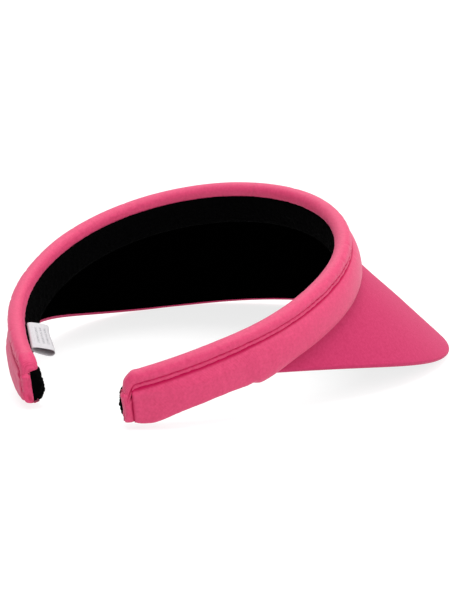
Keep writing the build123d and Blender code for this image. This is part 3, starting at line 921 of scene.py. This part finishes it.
def cover_section(place, reach):
    """Top cover of the brim: outer face, rounded rim and the edge turned in under it."""
    half_thick = BRIM_THICKNESS / 2
    end = max(reach - half_thick * 0.55, 0.4)
    near = min(4.0, end * 0.5)
    top = np.concatenate([np.linspace(-3.0, near, 10), np.linspace(near, end, 60)[1:]])
    face = BRIM_THICKNESS + 0.05 + brim_relief(place, top, reach)
    angle = np.linspace(pi / 2, -pi / 2, 16)[1:-1]
    rim_down = end + half_thick * 0.8 * np.cos(angle)
    rim_raised = half_thick + (half_thick + 0.05) * np.sin(angle)
    fold = max(min(RIM_FOLD, end * 0.8), 0.1)
    under = np.linspace(end, end - fold, 6)
    under[-1] += 0.12 * noise(place / 2.0, 0.3, 95)
    inside_under = under[::-1][:-1] + 0.01
    inner_angle = angle[::-1]
    inner_down = end - 0.1 + (half_thick * 0.8 - 0.5) * np.cos(inner_angle)
    inner_raised = half_thick + (half_thick - 0.5) * np.sin(inner_angle)
    inner_top = top[::-3]
    down = np.concatenate([top, rim_down, under, inside_under, inner_down, inner_top])
    inner_face = np.full(len(inner_top), BRIM_THICKNESS - 0.5)
    under_raised = np.concatenate([np.full(6, -0.12), np.full(5, 0.42)])
    raised = np.concatenate([face, rim_raised, under_raised, inner_raised, inner_face])
    return down, raised


def underside_section(place, reach):
    """Black lining under the brim, tucked beneath the turned edge of the cover."""
    half_thick = BRIM_THICKNESS / 2
    end = max(reach - half_thick * 0.55 - min(RIM_FOLD, reach * 0.5) + 0.5, 0.2)
    face = np.linspace(-3.0, end, 50)
    slow = noise(place / 30, face / 26, 97) * 0.16 * ramp(face, 0, 8) * (1 - ramp(face, end - 6, end))
    down = np.concatenate([face, face[::-4]])
    raised = np.concatenate([-0.02 - slow.clip(-0.1, 0.2), np.full(len(face[::-4]), 0.35)])
    return down, raised


points, uv = brim_rows(cover_section)
cover = make_tube("brim_top_cover", points, uv, -1)
finish_piece(cover, shaded_brim_twill)
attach(cover, "front")
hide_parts("brim_cover")
points, uv = brim_rows(underside_section)
underside = make_tube("brim_underside_lining", points, uv, 1)
finish_piece(underside, lining_cloth)
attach(underside, "front")
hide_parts("brim_underside")


# Spring strip: one blade, made as two halves

STRIP_END = 142.0
STRIP_LENGTH = SIDE_LENGTH + radians(STRIP_END - SIDE_END) * ARM_RADIUS
blade = np.array([
    (-1.6, -12.2), (-1.6, -4.3), (-1.5, -4.05), (-1.3, -4.05),
    (-1.2, -4.3), (-1.2, -12.2), (-1.3, -12.45), (-1.5, -12.45),
])
for side, word in SIDES:
    length = np.linspace(0, STRIP_LENGTH, 240)[:, None]
    points = band_points(length, blade[:, 0][None, :], blade[:, 1][None, :], side)
    uv = np.stack(np.broadcast_arrays(length, blade[:, 1][None, :]), -1)
    strip = make_tube(f"{word}_spring_half", points, uv, -side)
    finish_piece(strip, spring_steel)
    bend_with_arm(strip)
    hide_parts("spring_strip")


# Topstitching


def stitch_mesh(name, first, last, side):
    """Row of sewn stitches, each a curved thread that dives into the roll at both ends."""
    vertices = []
    faces = []
    count = int((last - first) / STITCH_PITCH)
    rings, around = 9, 8
    for number in range(count):
        middle = first + (number + 0.5) * STITCH_PITCH
        sway = 0.10 * noise(number * 0.7, 0.2, 71 + side)
        reach = 1.08 + 0.06 * noise(number * 0.9, 0.7, 73)
        rows = []
        for ring in range(rings):
            share = ring / (rings - 1) * 2 - 1
            length = middle + share * reach
            sink = 0.42 * abs(share) ** 3
            radius = THREAD_RADIUS * (1 - 0.55 * abs(share) ** 4)
            angle = np.linspace(0, 2 * pi, around, endpoint=False)
            reach_out = STITCH_REACH - sink + radius * np.cos(angle)
            swing = radians(STITCH_ANGLE) + (sway * share + radius * np.sin(angle)) / 3.4
            rows.append(band_points(length, reach_out * np.cos(swing), reach_out * np.sin(swing), side))
        base = number * rings * around
        vertices.append(np.array(rows).reshape(-1, 3))
        faces += [[base + index for index in face] for face in tube_faces(rings, around, side > 0)]
    stitches = make_object(name, to_row(np.vstack(vertices)), faces)
    return finish_piece(stitches, thread)


for side, word in SIDES:
    row = stitch_mesh(f"{word}_stitches", 0.0, ARM_LENGTH - 3.0, side)
    bend_with_arm(row)
    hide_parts("front_topstitch", f"{word}_topstitch")


# Care label

label_joint = joints["care_label_fold"]
label_root = Vector(label_joint["pos_m"])
label_along = Vector(label_joint["axis"]).normalized()


def label_rows():
    """Folded ribbon, slightly curled, from its sewn neck to the loop at its free end."""
    droop = radians(34.0)
    toward_head = up.cross(label_along)
    out = (toward_head * cos(droop) - up * sin(droop)).normalized()
    normal = (toward_head * sin(droop) + up * cos(droop)).normalized()
    top = [
        (0, 0.16), (0.3, 0.7), (1.4, 1.1), (3, 1.3), (5.8, 1.5), (7.6, 1.5), (8.6, 1.25), (9.2, 0.6),
        (9.4, 0),
    ]
    top = resample(top, 26)
    low = top[::-1] * np.array([1, -1.1])
    outline = np.vstack([top, low[1:]])
    ply = 0.22
    step = np.gradient(outline, axis=0)
    step /= np.linalg.norm(step, axis=1)[:, None]
    inner = outline + np.stack([step[:, 1], -step[:, 0]], -1) * ply
    loop = np.vstack([outline, inner[::-1]])
    half_width = 9.6
    width = np.linspace(-half_width, half_width, 44)
    rows = []
    for place in width:
        curl = 0.35 * (place / half_width) ** 2 + 0.25 * sin(place / 3.1)
        lift = loop[:, 1] + curl * (loop[:, 0].clip(0) / 10) ** 1.5
        reach = loop[:, 0] + 0.25 * sin(place / 4.0) * (loop[:, 0] / 10)
        row = np.array(label_root) + np.array(label_along) * place / 1000
        row = row + np.outer(reach, np.array(out)) / 1000 + np.outer(lift, np.array(normal)) / 1000
        rows.append(row)
    upper_ply = np.arange(len(outline)) < len(top)
    path = np.concatenate([outline[:, 0] * np.where(upper_ply, 1, -1), np.full(len(inner), -30.0)])
    uv = np.stack(np.meshgrid(width, path, indexing="ij"), -1)
    return np.array(rows), uv


rows, uv = label_rows()
label = make_object("care_label_ribbon", rows, tube_faces(rows.shape[0], rows.shape[1], False), uv)
finish_piece(label, satin)
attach(label, "label")
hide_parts("care_label")


# Hidden CAD pieces get their real materials

for name, material in (("brim_board", board), ("brim_padding", foam), ("front_foam", foam)):
    node = frame["nodes"][name]
    for place in range(len(node.material_slots)):
        node.material_slots[place].material = material


# Turn every made mesh's faces outward

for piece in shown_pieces():
    if piece.name in frame["nodes"]:
        continue
    bpy.context.view_layer.objects.active = piece
    piece.select_set(True)
    bpy.ops.object.mode_set(mode="EDIT")
    bpy.ops.mesh.select_all(action="SELECT")
    bpy.ops.mesh.normals_make_consistent(inside=False)
    bpy.ops.object.mode_set(mode="OBJECT")
    piece.select_set(False)


# Floor, light and camera

FLOOR_HEIGHT = cad_box[0].z - 0.0006
CAMERA_AZIMUTH = radians(31.2)


def sweep_backdrop():
    """Pale floor that curves up into a wall, away from the camera."""
    turn = np.linspace(0, pi / 2, 24)
    profile = [(-3.0, 0.0)] + [(2.2 + 0.9 * sin(a), 0.9 - 0.9 * cos(a)) for a in turn] + [(3.1, 4.0)]
    toward = Vector((-sin(CAMERA_AZIMUTH), cos(CAMERA_AZIMUTH), 0))
    across = Vector((toward.y, -toward.x, 0))
    vertices = []
    for reach, height in profile:
        for place in (-5, 5):
            spot = toward * reach + across * place
            vertices.append((spot.x, spot.y, FLOOR_HEIGHT + height))
    faces = [(2 * k, 2 * k + 1, 2 * k + 3, 2 * k + 2) for k in range(len(profile) - 1)]
    return make_object("studio_sweep", np.array(vertices), faces)


floor_material, floor_tree, floor_shader = new_material("studio_paper")
paper = add_node(floor_tree, "ShaderNodeTexNoise", Scale=3.0, Detail=2.0)
tone = add_node(floor_tree, "ShaderNodeValToRGB")
tone.color_ramp.elements[0].color = (0.25, 0.25, 0.25, 1)
tone.color_ramp.elements[1].color = (0.27, 0.27, 0.27, 1)
floor_tree.links.new(paper.outputs["Fac"], tone.inputs["Fac"])
floor_tree.links.new(tone.outputs["Color"], floor_shader.inputs["Base Color"])
floor_shader.inputs["Roughness"].default_value = 1.0
floor_shader.inputs["Emission Color"].default_value = (1, 1, 1, 1)
floor_shader.inputs["Emission Strength"].default_value = 0.8
floor_shader.inputs["Specular IOR Level"].default_value = 0.0
backdrop = sweep_backdrop()
backdrop.data.materials.append(floor_material)

world = bpy.data.worlds.new("studio")
bpy.context.scene.world = world
world.use_nodes = True
world.node_tree.nodes["Background"].inputs["Color"].default_value = (1, 1, 1, 1)
sky = world.node_tree
direction = add_node(sky, "ShaderNodeTexCoord")
across = add_node(sky, "ShaderNodeSeparateXYZ")
sky.links.new(direction.outputs["Generated"], across.inputs["Vector"])
glow = add_node(sky, "ShaderNodeMath", operation="MULTIPLY_ADD")
glow.inputs[1].default_value = 0.4  # dimmer on the wearer's left
glow.inputs[2].default_value = 0.66
sky.links.new(across.outputs["X"], glow.inputs[0])
sky.links.new(glow.outputs["Value"], sky.nodes["Background"].inputs["Strength"])


def add_light(name, place, aim, size, power):
    """Square soft light at a place, turned to a point."""
    lamp = bpy.data.lights.new(name, "AREA")
    lamp.size = size
    lamp.energy = power
    light = bpy.data.objects.new(name, lamp)
    light.location = place
    light.rotation_mode = "QUATERNION"
    light.rotation_quaternion = (Vector(aim) - Vector(place)).to_track_quat("-Z", "Y")
    bpy.context.scene.collection.objects.link(light)


add_light("key_light", (0.1, -0.2, 1.4), (0, 0, 0.03), 0.8, 12)
add_light("side_light", (1.1, 0.1, 0.8), (0, 0, 0.03), 0.9, 4)
add_light("backdrop_light", (-1.0, 1.3, 2.2), (-1.6, 2.6, 0.3), 1.5, 45)

CAMERA_PLACE = (250.5, -332.3, 216.2)  # in the band frame, millimetres
CAMERA_AIM = (-0.4978, 0.7101, -0.5006)
CAMERA_LENS = 66.5
SENSOR_WIDTH = 36
camera_data = bpy.data.cameras.new("camera")
camera_data.lens = CAMERA_LENS
camera_data.sensor_width = SENSOR_WIDTH
camera = bpy.data.objects.new("camera", camera_data)
camera.location = to_row(CAMERA_PLACE)
aim = Vector(np.array(CAMERA_AIM) @ BAND_AXES)
camera.rotation_mode = "QUATERNION"
camera.rotation_quaternion = aim.to_track_quat("-Z", "Y")
bpy.context.scene.collection.objects.link(camera)
bpy.context.scene.camera = camera
bpy.context.scene.view_settings.view_transform = "Standard"
